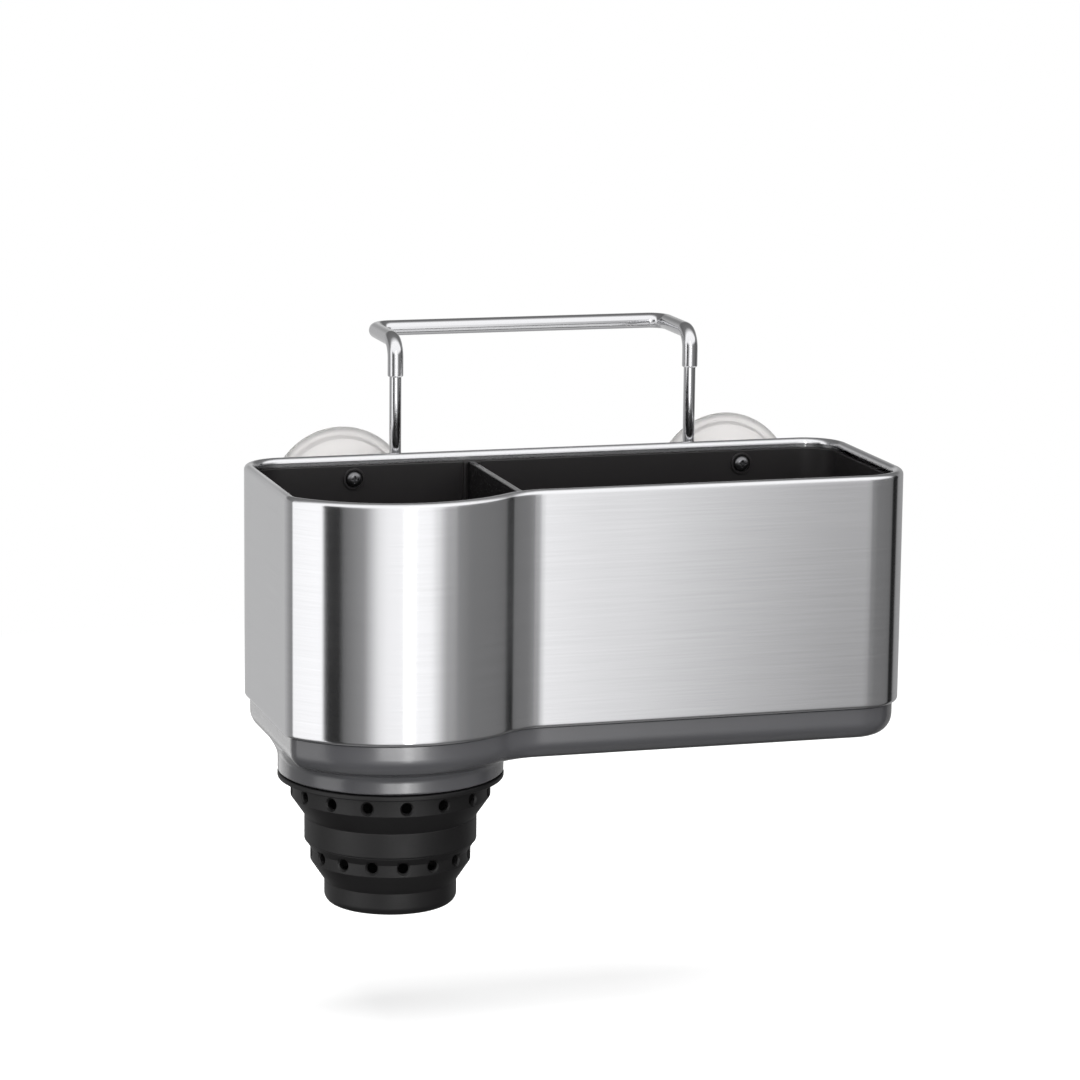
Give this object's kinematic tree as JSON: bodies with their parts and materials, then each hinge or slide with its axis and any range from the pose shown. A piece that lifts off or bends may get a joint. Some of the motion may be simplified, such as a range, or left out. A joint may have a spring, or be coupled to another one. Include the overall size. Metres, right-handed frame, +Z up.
{
  "type": "sink organizer",
  "caption": "Steel-sleeved sink caddy with a brush pocket, a sponge pocket, a folding drain cup, a wire hanger and suction cups.",
  "frame": {"origin": "on the sink wall's face, midway between the centres of the two suction cups", "axes": "+X to the organizer's right seen from the front, +Y out of its back into the sink wall, +Z up"},
  "size_m": [0.216, 0.1365, 0.185],
  "materials": {
    "brushed_stainless_steel": "vertical brush lines, rolled edges polished",
    "polished_chrome": "mirror",
    "black_plastic": "moulded, satin",
    "grey_plastic": "moulded, half gloss",
    "black_silicone": "moulded, matt",
    "clear_vinyl": "clear, slightly milky"
  },
  "bodies": {
    "caddy": {"steel_sleeve": "brushed_stainless_steel", "liner": "black_plastic", "divider": "black_plastic", "base_tray": "grey_plastic", "cup_collar": "black_silicone", "cup_upper_bellows": "black_silicone", "hanger_bracket": "black_plastic", "suction_cup_left": "clear_vinyl", "suction_cup_right": "clear_vinyl", "screw_left": "black_plastic", "screw_right": "black_plastic"},
    "hanger": {"hanger_handle": "polished_chrome", "hanger_rod_left": "polished_chrome", "hanger_rod_right": "polished_chrome", "rod_cap_left": "black_plastic", "rod_cap_right": "black_plastic"},
    "cup_ring": {"cup_middle_ring": "black_silicone", "cup_lower_bellows": "black_silicone"},
    "cup_foot": {"cup_base": "black_silicone"}
  },
  "joints": [
    {"name": "hanger_height", "type": "slide", "parent": "caddy", "child": "hanger", "axis": [0, 0, 1], "range_m": [-0.028, 0.029]},
    {"name": "cup_fold_upper", "type": "slide", "parent": "caddy", "child": "cup_ring", "axis": [0, 0, 1], "range_m": [0, 0.0115], "deforming": ["cup_upper_bellows"]},
    {"name": "cup_fold_lower", "type": "slide", "parent": "cup_ring", "child": "cup_foot", "axis": [0, 0, 1], "range_m": [0, 0.0115], "deforming": ["cup_lower_bellows"]}
  ],
  "couplings": [
    {"joint": "cup_fold_lower", "follows": "cup_fold_upper", "ratio": 1}
  ]
}
